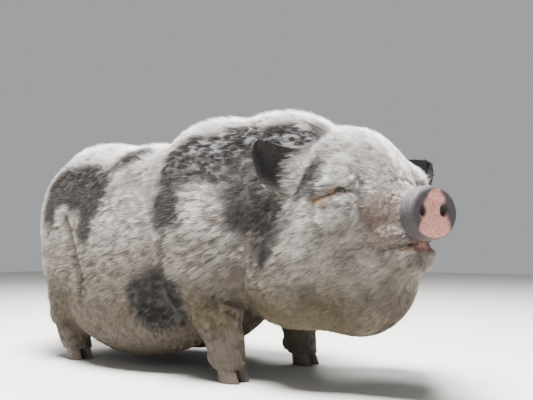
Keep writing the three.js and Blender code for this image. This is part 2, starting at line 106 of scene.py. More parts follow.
def melt(a, b, softness):
    """Two forms joined, with a fillet as wide as the softness."""
    h = np.maximum(softness - np.abs(a - b), 0) / softness
    return np.minimum(a, b) - h * h * softness * 0.25


def carve(a, b, softness):
    """a less b, with a soft edge."""
    return -melt(-a, b, softness)


def curve(points, steps):
    """A smooth path through points."""
    p = np.array(points, float)
    p = np.vstack([2 * p[0] - p[1], p, 2 * p[-1] - p[-2]])
    t = (np.arange(steps) / steps)[:, None]
    parts = [0.5 * (2 * b + (c - a) * t + (2 * a - 5 * b + 4 * c - d) * t**2 + (3 * b - a - 3 * c + d) * t**3)
             for a, b, c, d in zip(p, p[1:], p[2:], p[3:])]
    return np.vstack(parts + [p[-2:-1]])


def path_distance(p, path):
    path = np.array(path, np.float32)
    return np.min([limb(p, a, b, 0, 0) for a, b in zip(path, path[1:])], axis=0)


def groove(d, p, path, width, depth):
    """A crease pressed into d along a path. A ridge has a negative depth."""
    points = np.array(path, np.float32)
    near = np.all((p > points.min(0) - 3 * width) & (p < points.max(0) + 3 * width), axis=1)
    pressed = d.copy()
    pressed[near] += depth * np.exp(-((path_distance(p[near], path) / width) ** 2))
    return pressed


def smooth(low, high, v):
    """A soft step from 0 at low to 1 at high."""
    t = np.clip((v - low) / (high - low), 0, 1)
    return t * t * (3 - 2 * t)


LATTICE = rng.random((32, 32, 32)).astype(np.float32) * 2 - 1


def noise(p, size):
    """A seeded lattice of random values, read smoothly."""
    q = p / size + 100.5
    cell = np.floor(q).astype(int)
    t = (q - cell) ** 2 * (3 - 2 * (q - cell))
    total = 0
    for i in (0, 1):
        for j in (0, 1):
            for k in (0, 1):
                weight = np.abs(1 - i - t[:, 0]) * np.abs(1 - j - t[:, 1]) * np.abs(1 - k - t[:, 2])
                at = (cell + (i, j, k)) % 32
                total = total + weight * LATTICE[at[:, 0], at[:, 1], at[:, 2]]
    return total


def noise_way(p, size):
    return np.stack([noise(p, size), noise(p + 300, size), noise(p + 600, size)], 1)


def trunk(p):
    """Rump, back, barrel, hanging belly and thighs, then chest and shoulders behind a sharper fold."""
    q = folded(p)
    d = ellipsoid(q, (-218, 0, 315), (182, 158, 162))
    d = melt(d, ellipsoid(q, (-60, 0, 312), (220, 165, 142)), 40)
    d = melt(d, ellipsoid(q, (-10, 0, 280), (250, 192, 168)), 40)
    d = melt(d, ellipsoid(q, (-30, -70, 158), (222, 128, 142)), 60)
    d = melt(d, ellipsoid(q, (-240, -90, 235), (90, 70, 145)), 30)
    chest = ellipsoid(q, (140, 0, 318), (200, 165, 178))
    shoulder = ellipsoid(q, (165, -118, 250), (112, 78, 150))
    return melt(d, melt(chest, shoulder, 40), 16)


def neck(p):
    """Neck, its fat crest and the brisket under it."""
    d = ellipsoid(p, (270, -6, 325), (160, 128, 160))
    d = melt(d, ellipsoid(p, (280, -8, 372), (170, 92, 100)), 50)
    return melt(d, ellipsoid(p, (310, -15, 190), (110, 112, 105)), 40)


# Each leg is a chain of joints from the body to the claws: x, y, z and radius
FORE_LEG = [(176, 92, 236, 50), (186, 116, 180, 62), (210, 122, 116, 46), (226, 118, 74, 35),
            (230, 116, 46, 30), (238, 115, 24, 28)]
HIND_LEG = [(-214, 84, 250, 52), (-200, 114, 190, 66), (-216, 120, 136, 48), (-230, 117, 100, 38),
            (-208, 116, 58, 31), (-190, 116, 24, 29)]
ANKLE = 22
BRISKET_HEIGHT = 260


def neck_softness(p):
    """The neck melts softly into the trunk at the brisket, and more sharply above it."""
    return 110 - 88 * np.clip(p[:, 2] / BRISKET_HEIGHT, 0, 1)


def legs(p):
    """All four legs, cut off flat at the ankle, where the claws take over."""
    q = folded(p)
    d = np.full(len(p), FAR, np.float32)
    for chain in (FORE_LEG, HIND_LEG):
        for a, b in zip(chain, chain[1:]):
            d = melt(d, limb(q, (a[0], -a[1], a[2]), (b[0], -b[1], b[2]), a[3], b[3]), 14)
    return np.maximum(d, ANKLE - p[:, 2])


# Folds of the trunk: behind the shoulder, before the thigh, two down the neck and two at the elbow,
# each with its width and depth
BODY_FOLDS = [
    ([(138, -196, 262), (133, -195, 212), (120, -182, 168), (122, -168, 138), (130, -150, 112)], 10, 12),
    ([(-192, -160, 300), (-160, -170, 256), (-124, -180, 214), (-96, -182, 178), (-90, -170, 140)], 11, 13),
    ([(288, -122, 395), (288, -137, 335), (285, -140, 292), (281, -139, 249), (284, -140, 206),
      (270, -130, 162)], 8, 12),
    ([(322, -128, 372), (320, -135, 330), (318, -138, 291), (326, -152, 250), (322, -150, 214)], 8, 12),
    ([(232, -150, 150), (252, -128, 140), (262, -100, 132)], 6, 7),
    ([(226, -150, 132), (250, -130, 120), (262, -104, 112)], 5, 6),
]
NECK_FOLD = [(398, -132, 330), (386, -150, 294), (374, -166, 262), (358, -172, 230), (334, -162, 204)]


def body_folds(p, d):
    """The folds on both sides, and the one that the turned head presses into the right of the neck."""
    q = folded(p)
    for path, width, depth in BODY_FOLDS:
        d = groove(d, q, path, width, depth)
    return groove(d, p, NECK_FOLD, 9, 15)


TAIL = curve([(-352, 0, 404), (-390, 0, 396), (-422, 0, 350), (-428, 4, 290), (-424, 6, 240),
              (-422, 4, 214)], 3)
TAIL_RADII = (12, 5)


def tail(p):
    radii = np.linspace(*TAIL_RADII, len(TAIL))
    d = np.full(len(p), FAR, np.float32)
    for a, b, thick, thin in zip(TAIL, TAIL[1:], radii, radii[1:]):
        d = np.minimum(d, limb(p, a, b, thick, thin))
    return d


def head_forms(q):
    """Skull, crown, forehead, snout, cheeks, jowls, lower jaw, brows, lids, muzzle and upper lip."""
    d = ellipsoid(q, (-20, 0, 15), (100, 94, 82))
    d = melt(d, ellipsoid(q, (-20, 0, 40), (108, 78, 58), pitch=-27), 30)
    d = melt(d, ellipsoid(q, (42, 0, 8), (82, 56, 46), pitch=-32), 30)
    d = melt(d, limb(q, (30, 0, -38), (138, 0, -52), 64, 36), 30)
    d = melt(d, ellipsoid(q, (0, -58, -50), (82, 62, 72)), 30)
    d = melt(d, ellipsoid(q, (-16, 0, -140), (132, 90, 112)), 35)
    d = melt(d, limb(q, (40, 0, -128), (140, 0, -114), 56, 27), 24)
    d = melt(d, ellipsoid(q, (-80, -80, -131), (104, 88, 112)), 50)
    d = melt(d, ellipsoid(q, (36, -64, 22), (46, 28, 24), 10, -12), 16)
    d = melt(d, ellipsoid(q, (50, -64, -38), (44, 30, 30)), 12)
    d = melt(d, ellipsoid(q, (105, -26, -82), (48, 24, 18)), 14)
    return melt(d, ellipsoid(q, (122, -14, -108), (42, 20, 14)), 12)


# Ear: a cupped flap over its outline in the head's side-to-side plane
EAR_OUTLINE = [(-50, 62), (-84, 72), (-112, 75), (-146, 81), (-168, 83), (-178, 77), (-182, 62), (-177, 36),
               (-166, 8), (-150, -4), (-122, -12), (-98, -6), (-70, 8), (-50, 14)]
EAR_ROOT_X, EAR_TIP_X = -62, -50
EAR_CUP = 19
LEFT_EAR_SWING = 40
LEFT_EAR_DROP = 20


def outline_distance(y, z, outline):
    """The distance to a closed outline, below 0 inside."""
    points = np.stack([y, z], 1)
    corners = np.array(outline, np.float32)
    d = np.full(len(y), 1e9, np.float32)
    inside = np.zeros(len(y), bool)
    for a, b in zip(corners, np.roll(corners, -1, 0)):
        span = b - a
        t = np.clip((points - a) @ span / (span @ span), 0, 1)
        d = np.minimum(d, length(points - a - t[:, None] * span))
        crosses = (a[1] > z) != (b[1] > z)
        inside ^= crosses & (y < (b[0] - a[0]) * (z - a[1]) / (b[1] - a[1] + 1e-9) + a[0])
    return np.where(inside, -d, d)


def at_right_ear(q):
    """Both ears brought to the right one's place. The left one is pricked forward and hangs lower."""
    right = folded(q)
    share = np.clip((np.abs(q[:, 1]) - 60) / 124, 0, 1) * (q[:, 1] > 0)
    right[:, 0] -= LEFT_EAR_SWING * share
    right[:, 2] += LEFT_EAR_DROP * share
    return right


def ear(q):
    """The right ear: a sheet that is thickest at its root and cupped towards the rear."""
    rim = outline_distance(q[:, 1], q[:, 2], EAR_OUTLINE)
    outward = smooth(-60, -185, q[:, 1])
    depth = np.minimum(-rim, 40) / 40
    sheet = EAR_ROOT_X + (EAR_TIP_X - EAR_ROOT_X) * outward - EAR_CUP * (1 - (1 - np.maximum(depth, 0)) ** 2)
    half_thick = 2.2 + 2.6 * (1 - outward)
    body = np.abs(q[:, 0] - sheet) * 0.8 - half_thick
    return -melt(-body, -(rim + 2), 3)


# Fine forms of the face on its right side: lids, folds, lips, nostril and the snout's disc
EYE_SLIT = [(32, -110, -23), (44, -103, -19), (58, -91, -13), (72, -78, -10), (86, -65, -16)]
BROW_FOLD = [(22, -106, -4), (40, -100, 4), (60, -86, 8), (80, -68, 6)]
LOWER_LID = [(34, -112, -35), (50, -105, -29), (66, -92, -24), (84, -72, -27)]
CHEEK_CREASE = [(30, -110, -28), (38, -118, -46), (38, -124, -66), (46, -122, -86)]
MUZZLE_FOLDS = [
    ([(99, -56, -18), (95, -64, -35), (92, -62, -51), (86, -60, -72)], 7, 4),
    ([(122, -38, -14), (120, -46, -32), (118, -47, -52), (116, -46, -72)], 5, 2.2),
    ([(110, 0, 4), (112, -26, -2), (112, -44, -20)], 6, 2),
    ([(134, 0, -8), (134, -22, -13), (134, -36, -28), (133, -40, -52)], 4.5, 2),
]
FOREHEAD_FOLDS = [[(30, 0, 70), (22, -30, 68), (12, -52, 58)], [(52, 0, 52), (46, -26, 50), (38, -46, 42)]]
MOUTH_LINE = [(168, 0, -96), (160, -22, -95), (138, -40, -98), (112, -50, -105), (92, -64, -113),
              (80, -74, -117)]
NOSTRIL = (190, -17.5, -46)
NOSTRIL_RADII = (17, 7.5, 11)
NOSTRIL_YAW = 14
DISC = (170, 0, -50)
DISC_HALF_THICK = 15.5
DISC_HALF_WIDTH = 45
DISC_HALF_HEIGHT = 40


def disc_radius(q):
    """How far a point lies outside the snout disc's round outline."""
    across = np.hypot(q[:, 1] / DISC_HALF_WIDTH, (q[:, 2] - DISC[2]) / DISC_HALF_HEIGHT)
    return (across - 1) * DISC_HALF_HEIGHT


def snout_disc(q):
    """A thick round plate with a soft rim, dished a little in the middle of its face."""
    radial = disc_radius(q)
    dish = 3.5 * smooth(-7, -22, radial) * (q[:, 0] > DISC[0])
    slab = np.abs(q[:, 0] - DISC[0]) - DISC_HALF_THICK + dish
    return -melt(-radial, -slab, 9)


def face(q, d):
    """Lids, brow, creases and the line of the mouth, pressed into the head or raised from it."""
    d = groove(d, q, EYE_SLIT, 4.6, 11)
    d = groove(d, q, BROW_FOLD, 9, -8)
    d = groove(d, q, LOWER_LID, 5, -4.5)
    d = groove(d, q, CHEEK_CREASE, 9, 10)
    for path, width, depth in MUZZLE_FOLDS:
        d = groove(d, q, path, width, depth)
    for path in FOREHEAD_FOLDS:
        d = groove(d, q, path, 7, 1.8)
    d = groove(d, q, MOUTH_LINE, 5.5, 16)
    return d


def snout(q, d):
    """The disc with its two nostrils, fine bumps on its face and ring wrinkles round its side."""
    d = melt(d, snout_disc(q), 5)
    d = carve(d, ellipsoid(q, NOSTRIL, NOSTRIL_RADII, NOSTRIL_YAW), 3)
    bumps = 0.7 * noise(q, 7) * smooth(-2, -12, disc_radius(q)) * (q[:, 0] > DISC[0])
    wrinkles = 0.8 * np.sin(q[:, 0] * 1.1 + noise(q, 9) * 2.5) * smooth(-8, 0, disc_radius(q))
    on_disc = smooth(146, 152, q[:, 0]) * (q[:, 2] > -100)
    return d + (bumps + wrinkles * smooth(184, 176, q[:, 0])) * on_disc


def coat_depth(p, q):
    """How deep the coat lies over the skin: thick on the trunk, thin on the face and feet."""
    on_head = smooth(-60, 20, q[:, 0]) * (p[:, 0] > 300)
    deep = 5 - 2.4 * on_head - 1.6 * smooth(70, 120, q[:, 0]) * on_head
    return deep * smooth(10, 120, p[:, 2]) + 1


def skin_field(p):
    """The whole hide as one form. Each part is only worked out where it can reach."""
    d = np.full(len(p), FAR, np.float32)
    low = p[:, 2] < 300
    rear = p[:, 0] < 460
    front = p[:, 0] > 40
    d[rear] = trunk(p[rear])
    d[front] = melt(d[front], neck(p[front]), neck_softness(p[front]))
    d[low] = melt(d[low], legs(p[low]), 24)
    turned = to_head(p[front])
    q = folded(turned)
    d[front] = melt(d[front], face(q, head_forms(q)), 16)
    d = body_folds(p, d)
    d[front] = melt(d[front] + coat_depth(p[front], q), ear(at_right_ear(turned)), 12)
    d[front] = snout(q, d[front])
    d[~front] += coat_depth(p[~front], np.full((np.count_nonzero(~front), 3), -FAR, np.float32))
    behind = p[:, 0] < -330
    d[behind] = melt(d[behind], tail(p[behind]), 10)
    return d


def net(field, low, high, step, block=4):
    """One point in each cell that the surface crosses, and a quad across each edge that it crosses."""
    low, high = np.array(low, float), np.array(high, float)
    count = np.ceil((high - low) / (step * block)).astype(int) * block + 1
    coarse = [low[i] + step * np.arange(0, count[i], block) for i in range(3)]
    grid = np.stack(np.meshgrid(*coarse, indexing="ij"), -1)
    values = field(grid.reshape(-1, 3).astype(np.float32)).reshape(grid.shape[:3])
    near = np.zeros(values.shape, bool)
    corners = [(i, j, k) for i in (0, 1) for j in (0, 1) for k in (0, 1)]
    cells = [values[i:values.shape[0] - 1 + i, j:values.shape[1] - 1 + j, k:values.shape[2] - 1 + k]
             for i, j, k in corners]
    close = step * block * 0.75
    near[:-1, :-1, :-1] = (np.min(cells, axis=0) < close) & (np.max(cells, axis=0) > -close)

    def spread(a):
        for axis in range(3):
            a = np.repeat(a, block, axis)
        return a[: count[0], : count[1], : count[2]]

    fine = spread(values).copy()
    at = np.argwhere(spread(near))
    points = (low + at * step).astype(np.float32)
    chunk = 300000
    found = [field(points[i:i + chunk]) for i in range(0, len(points), chunk)]
    fine[tuple(at.T)] = np.concatenate(found)
    inside = fine < 0
    number = np.zeros(tuple(count - 1), np.int8)
    for i, j, k in corners:
        number += inside[i:count[0] - 1 + i, j:count[1] - 1 + j, k:count[2] - 1 + k]
    crossed = (number > 0) & (number < 8)
    cells = np.argwhere(crossed)
    ids = -np.ones(tuple(count - 1), np.int32)
    ids[crossed] = np.arange(len(cells))
    total = np.zeros((len(cells), 3))
    weight = np.zeros(len(cells))
    for corner in corners:
        for axis in range(3):
            if corner[axis]:
                continue
            other = list(corner)
            other[axis] = 1
            a, b = fine[tuple((cells + corner).T)], fine[tuple((cells + other).T)]
            hit = (a < 0) != (b < 0)
            place = np.tile(np.array(corner, float), (len(cells), 1))
            place[:, axis] = np.where(hit, a / np.where(hit, a - b, 1), 0)
            total += place * hit[:, None]
            weight += hit
    points = low + (cells + total / weight[:, None]) * step
    quads = []
    for axis in range(3):
        u, v = (axis + 1) % 3, (axis + 2) % 3
        first = [slice(1, n - 1) for n in count]
        first[axis] = slice(0, count[axis] - 1)
        second = list(first)
        second[axis] = slice(1, count[axis])
        edge = np.argwhere(inside[tuple(first)] != inside[tuple(second)])
        edge += [int(i != axis) for i in range(3)]

        def cell(du, dv):
            c = edge.copy()
            c[:, u] -= du
            c[:, v] -= dv
            return ids[tuple(c.T)]

        quad = np.stack([cell(1, 1), cell(0, 1), cell(0, 0), cell(1, 0)], 1)
        out = ~inside[tuple(edge.T)]
        quad[out] = quad[out][:, ::-1]
        quads.append(quad)
    return points, np.concatenate(quads)


def gradient(field, p, step=1.0):
    """Which way the field rises at each point, and how fast."""
    slope = np.empty_like(p)
    for axis in range(3):
        offset = np.zeros(3, np.float32)
        offset[axis] = step
        slope[:, axis] = (field(p + offset) - field(p - offset)) / (2 * step)
    return slope


def settle(field, p, rounds=2):
    """Moves points onto the surface."""
    for _ in range(rounds):
        d = field(p)
        slope = gradient(field, p)
        p = p - slope * (np.clip(d, -4, 4) / np.maximum(np.einsum("ij,ij->i", slope, slope), 0.1))[:, None]
    return p.astype(np.float32)


# Markings of hide and hair. Each dark patch is where a form lies near the skin: centre, radii and pitch.
RIGHT_PATCHES = [
    ((-216, -140, 368), (58, 70, 44), 0),
    ((-150, -150, 372), (72, 70, 56), -6),
    ((-82, -165, 345), (50, 60, 74), 0),
    ((-86, -175, 285), (34, 40, 40), 0),
    ((-242, -150, 322), (30, 50, 34), 0),
    ((-24, -112, 420), (46, 70, 26), 20),
    ((150, -150, 400), (66, 80, 66), 0),
    ((142, -185, 320), (44, 40, 54), 0),
    ((240, -110, 400), (96, 90, 72), 0),
    ((285, -130, 330), (42, 60, 74), 0),
    ((330, -140, 270), (34, 40, 84), 0),
    ((112, -165, 142), (68, 60, 62), 0),
    ((168, -150, 96), (44, 50, 22), 0),
    ((229, -164, 132), (10, 30, 9), 0),
    ((330, -60, 425), (84, 70, 40), 0),
]
LEFT_PATCHES = [
    ((-230, 120, 372), (70, 80, 56), 30),
    ((-150, 150, 330), (84, 70, 46), -24),
    ((-66, 170, 372), (44, 60, 34), 0),
    ((130, 150, 400), (74, 90, 70), 20),
    ((190, 150, 340), (60, 70, 84), 0),
    ((270, 120, 390), (84, 90, 64), 0),
    ((330, 110, 300), (40, 60, 90), 0),
    ((40, 170, 150), (74, 60, 46), 16),
    ((100, 170, 120), (40, 60, 30), 0),
]
HEAD_PATCHES = [((2, -106, 12), (42, 34, 38)), ((2, 106, 12), (42, 34, 38)), ((-52, -50, 96), (50, 34, 26)),
                ((-60, 40, 92), (50, 40, 26))]
# Stains at the elbow, before the thigh and, in the head's frame, under the jowl: centre, radii, soft
# edge and strength
ELBOW_STAIN = ((222, -165, 118), (50, 50, 26), (16, -14), 0.75)
THIGH_STAIN = ((-150, -150, 130), (24, 30, 16), (12, -8), 0.6)
JOWL_STAIN = ((-50, -90, -225), (110, 80, 50), (46, -26), 0.5)


def ear_share(q):
    """1 on an ear, 0 on the head beside it."""
    place = at_right_ear(q)
    return smooth(7, 2, ear(place)) * smooth(-92, -104, place[:, 1])


def flat_distance(p, path):
    """The distance to a path with little regard to how deep its groove lies in the side."""
    squeeze = np.array((1, 0.22, 1), np.float32)
    return path_distance(p * squeeze, np.array(path, np.float32) * squeeze)


def crease_share(p, side):
    """1 in the bottom of a fold, where the hide is thinly haired and painted darker as shade."""
    right = folded(p)
    near = [flat_distance(right, path) / width for path, width, depth in BODY_FOLDS]
    near += [flat_distance(p, NECK_FOLD) / 10, flat_distance(side, CHEEK_CREASE) / 9]
    near += [path_distance(side, path) / width for path, width, depth in MUZZLE_FOLDS]
    return smooth(1.0, 0.2, np.min(near, axis=0)) * (p[:, 2] < 400)


def markings(p):
    """How dark, stained, rusty, pink, slate, shadowed and low each point of the hide is, from 0 to 1. Shadow
    and crease carry painted shade, and low is partly painted shade.
    """
    q = to_head(p)
    side = folded(q)
    loose = np.where(p[:, 1] > 0, 30, 6)[:, None]
    frayed = p + noise_way(p, 58) * loose + noise_way(p, 26) * 9 + noise_way(p, 7) * 4
    d = np.full(len(p), FAR, np.float32)
    for centre, radii, lift in RIGHT_PATCHES + LEFT_PATCHES:
        d = np.minimum(d, ellipsoid(frayed, centre, radii, pitch=lift))
    frayed_q = to_head(frayed)
    for centre, radii in HEAD_PATCHES:
        d = np.minimum(d, ellipsoid(frayed_q, centre, radii))
    dark = smooth(12, -12, d)
    on_ear = ear_share(q)
    at_ear = at_right_ear(q)
    ear_rim = outline_distance(at_ear[:, 1], at_ear[:, 2], EAR_OUTLINE)
    pale_edge = smooth(-8, -2, ear_rim + noise(p, 9) * 2) * smooth(34, 4, at_ear[:, 2])
    dark = np.maximum(dark * (1 - on_ear), on_ear * (1 - 0.8 * pale_edge))
    stain = np.zeros(len(p))
    for at, mark in ((frayed, ELBOW_STAIN), (frayed, THIGH_STAIN), (frayed_q, JOWL_STAIN)):
        centre, radii, edge, strength = mark
        stain = np.maximum(stain, smooth(*edge, ellipsoid(at, centre, radii)) * strength)
    below_slit = [(x, y, z - 4) for x, y, z in EYE_SLIT[:-1]]
    rust = smooth(15, 5, path_distance(side, below_slit) + noise(p, 6) * 4) * 0.8
    # Painted shade: the bottoms of folds, the slit of the eye, the mouth line and the nostrils are darkened.
    crease = crease_share(p, side)
    shadow = np.maximum(smooth(4.6, 2.2, flat_distance(side, EYE_SLIT)) * (side[:, 1] < -50), crease * 0.6)
    mouth = flat_distance(side, MOUTH_LINE)
    shadow = np.maximum(shadow, smooth(4.5, 2.5, mouth) * (q[:, 0] < 176))
    shadow = np.maximum(shadow, smooth(2, -3, ellipsoid(side, NOSTRIL, NOSTRIL_RADII, NOSTRIL_YAW)))
    radial = disc_radius(q)
    wedge = np.abs(q[:, 1]) - 22 + (q[:, 2] - DISC[2]) * 0.32 + noise(p, 12) * 7 + noise(p, 3.5) * 2
    on_face = smooth(DISC[0] + 8, DISC[0] + 11, q[:, 0]) * smooth(-4, -9, radial + noise(p, 8) * 3)
    lower = smooth(DISC[2] - 22, DISC[2] - 26, q[:, 2]) * smooth(-2, -5, radial) * (q[:, 0] > DISC[0] + 6)
    pink = np.maximum(on_face, lower) * smooth(5, -5, wedge)
    lip = smooth(15, 8, mouth + noise(p, 8) * 4) * smooth(126, 150, q[:, 0]) * (q[:, 2] < -94)
    corner = smooth(5, -4, ellipsoid(side, (88, -70, -116), (14, 12, 6)))
    pink = np.maximum(pink, np.maximum(lip * 0.5, corner * 0.4))
    slate = smooth(138, 152, q[:, 0] + noise(p, 9) * 5) * smooth(-92, -84, q[:, 2]) * (1 - pink)
    # Low: darker and browner towards the belly and feet, partly the lower coat's own tan and partly painted
    # shade under the body.
    low = smooth(400, 90, p[:, 2] + noise(p, 60) * 30)
    muzzle = smooth(14, -12, ellipsoid(side, (116, -34, -56), (34, 34, 40)) + noise(p, 12) * 6)
    values = {"dark": dark, "stain": stain, "rust": rust, "pink": pink, "slate": slate, "shadow": shadow,
              "low": low, "crease": crease, "ear": on_ear * (1 - 0.8 * pale_edge), "muzzle": muzzle}
    return {name: np.clip(value, 0, 1) for name, value in values.items()}


def colour(code):
    """An sRGB hex colour as linear red, green, blue and 1."""
    parts = [int(code[i:i + 2], 16) / 255 for i in (1, 3, 5)]
    return tuple(c / 12.92 if c < 0.04045 else ((c + 0.055) / 1.055) ** 2.4 for c in parts) + (1,)


def new_material(name, roughness):
    """A material and its shader."""
    material = bpy.data.materials.new(name)
    material.use_nodes = True
    shader = material.node_tree.nodes["Principled BSDF"]
    shader.inputs["Roughness"].default_value = roughness
    return material, shader


def node(owner, kind, inputs=None, **settings):
    """Adds a node with its settings, values and links to a material or to a tree."""
    tree = getattr(owner, "node_tree", owner)
    made = tree.nodes.new(kind)
    for key, value in settings.items():
        setattr(made, key, value)
    for key, value in (inputs or {}).items():
        socket = made.inputs[key]
        if isinstance(value, bpy.types.NodeSocket):
            tree.links.new(value, socket)
        else:
            socket.default_value = value
    return made


def new_object(name, points, faces=()):
    """A smooth mesh, or a cloud of points where no faces are given. Points are in the forms' millimetres."""
    mesh = bpy.data.meshes.new(name)
    mesh.vertices.add(len(points))
    mesh.vertices.foreach_set("co", ((np.asarray(points, float) + (SHIFT, 0, 0)) * MM).ravel())
    if len(faces):
        mesh.loops.add(faces.size)
        mesh.loops.foreach_set("vertex_index", faces.ravel())
        mesh.polygons.add(len(faces))
        mesh.polygons.foreach_set("loop_start", np.arange(0, faces.size, faces.shape[1]))
        mesh.polygons.foreach_set("loop_total", np.full(len(faces), faces.shape[1]))
        mesh.polygons.foreach_set("use_smooth", np.ones(len(faces), bool))
    mesh.update(calc_edges=True)
    obj = bpy.data.objects.new(name, mesh)
    bpy.context.scene.collection.objects.link(obj)
    return obj


def design_points(obj):
    """An object's points in the forms' millimetres."""
    points = np.empty(len(obj.data.vertices) * 3, np.float32)
    obj.data.vertices.foreach_get("co", points)
    return points.reshape(-1, 3) / MM - (SHIFT, 0, 0)


def store(obj, values):
    """Keeps numbers or vectors on an object's points, where materials and trees read them."""
    for name, value in values.items():
        kind, part = ("FLOAT", "value") if value.ndim == 1 else ("FLOAT_VECTOR", "vector")
        layer = obj.data.attributes.new(name, kind, "POINT")
        layer.data.foreach_set(part, value.astype(np.float32).ravel())


def plain_mesh(obj):
    """Takes up what an object's modifiers make."""
    obj.data = bpy.data.meshes.new_from_object(obj.evaluated_get(bpy.context.evaluated_depsgraph_get()))
    obj.modifiers.clear()


NET_STEP = 3.2
NET_LOW, NET_HIGH = (-452, -232, 4), (660, 232, 520)
SKIN_TRIANGLES = 140000
points, quads = net(skin_field, NET_LOW, NET_HIGH, NET_STEP)
skin = new_object("skin", points, quads)
decimate = skin.modifiers.new("fewer", "DECIMATE")
decimate.ratio = min(1, SKIN_TRIANGLES / (2 * len(quads)))
plain_mesh(skin)

# The eye, the snout's disc and the lips get finer triangles: centre in the head's frame, and radius
FINE_SPOTS = [((58, -90, -12), 44), ((172, -14, -52), 52), ((128, -36, -100), 42)]
points = design_points(skin)
q = folded(to_head(points))
fine = np.zeros(len(points), bool)
for centre, radius in FINE_SPOTS:
    fine |= length(q - np.array(centre, np.float32)) < radius
editor = bmesh.new()
editor.from_mesh(skin.data)
editor.verts.ensure_lookup_table()
chosen = set(np.nonzero(fine)[0].tolist())
edges = [e for e in editor.edges if e.verts[0].index in chosen and e.verts[1].index in chosen]
bmesh.ops.subdivide_edges(editor, edges=edges, cuts=1, use_grid_fill=True)
bmesh.ops.triangulate(editor, faces=editor.faces)
editor.to_mesh(skin.data)
editor.free()
points = settle(skin_field, design_points(skin).astype(np.float32))
skin.data.vertices.foreach_set("co", ((points + (SHIFT, 0, 0)) * MM).astype(np.float32).ravel())
skin.data.polygons.foreach_set("use_smooth", np.ones(len(skin.data.polygons), bool))
skin.data.update()
store(skin, {name: share for name, share in markings(points).items() if name != "crease"})

# Pig hide is thick and matt, greyish pink under pale hair and near black under dark. Its mottling keeps it
# from looking painted. Its net of fine wrinkles, drawn coarser than the real 1 mm, takes off the shine.
hide, shader = new_material("grey pig hide", 0.7)
place = node(hide, "ShaderNodeTexCoord").outputs["Object"]
MOTTLE_SIZE = 11
mottle = node(hide, "ShaderNodeTexNoise", {"Vector": place, "Scale": 1 / (MOTTLE_SIZE * MM), "Detail": 5.0})
tone = node(hide, "ShaderNodeMix", {0: mottle.outputs["Fac"], 6: colour("#3a322f"), 7: colour("#66574f")},
            data_type="RGBA").outputs[2]
SPECKLE_SIZE = 3.5
speckle = node(hide, "ShaderNodeTexNoise", {"Vector": place, "Scale": 1 / (SPECKLE_SIZE * MM), "Detail": 4.0})
speck = node(hide, "ShaderNodeMapRange", {"Value": speckle.outputs["Fac"], 1: 0.36, 2: 0.76}).outputs[0]
rosy = node(hide, "ShaderNodeMix", {0: speck, 6: colour("#b9857a"), 7: colour("#7d4f44")},
            data_type="RGBA").outputs[2]
slaty = node(hide, "ShaderNodeMix", {0: speck, 6: colour("#2f272b"), 7: colour("#171213")},
             data_type="RGBA").outputs[2]
# The low layer is partly a browner lower hide and partly painted shade. The shadow layer is painted shade in
# the slit, mouth, nostrils and folds.
HIDE_LAYERS = [("low", colour("#3f352c")), ("muzzle", colour("#4a3c36")), ("dark", colour("#1c1918")),
               ("ear", colour("#141110")), ("stain", colour("#463c24")), ("slate", slaty), ("pink", rosy),
               ("rust", colour("#5a3a10")), ("shadow", colour("#120a08"))]
for layer, tint in HIDE_LAYERS:
    amount = node(hide, "ShaderNodeAttribute", attribute_name=layer).outputs["Fac"]
    tone = node(hide, "ShaderNodeMix", {0: amount, 6: tone, 7: tint}, data_type="RGBA").outputs[2]
hide.node_tree.links.new(tone, shader.inputs["Base Color"])
WRINKLE_SPACING = 2.4
WRINKLE_DEPTH = 1.6
wrinkle = node(hide, "ShaderNodeTexVoronoi", {"Vector": place, "Scale": 1 / (WRINKLE_SPACING * MM)},
               feature="DISTANCE_TO_EDGE").outputs["Distance"]
bump = node(hide, "ShaderNodeBump", {"Height": wrinkle, "Strength": 0.8, "Distance": WRINKLE_DEPTH * MM})
hide.node_tree.links.new(bump.outputs[0], shader.inputs["Normal"])
skin.data.materials.clear()
skin.data.materials.append(hide)
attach(skin, "root")
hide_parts("torso", "neck", "head", "lower_jaw", "snout_disc", "ear_right", "ear_left",
            "foreleg_right", "foreleg_left", "hindleg_right", "hindleg_left", "tail")


# Coat: coarse, nearly straight bristles that grow from the hide in loose tufts and lie back along the body.
# Each tuft's hairs draw together towards their tips, so that dark skin shows between the tufts. A bristle
# is a three-sided spike. It is drawn coarser than a real one of 0.25 mm, and there are far fewer of them.
TAIL_START = -398
TAIL_REACH = 24


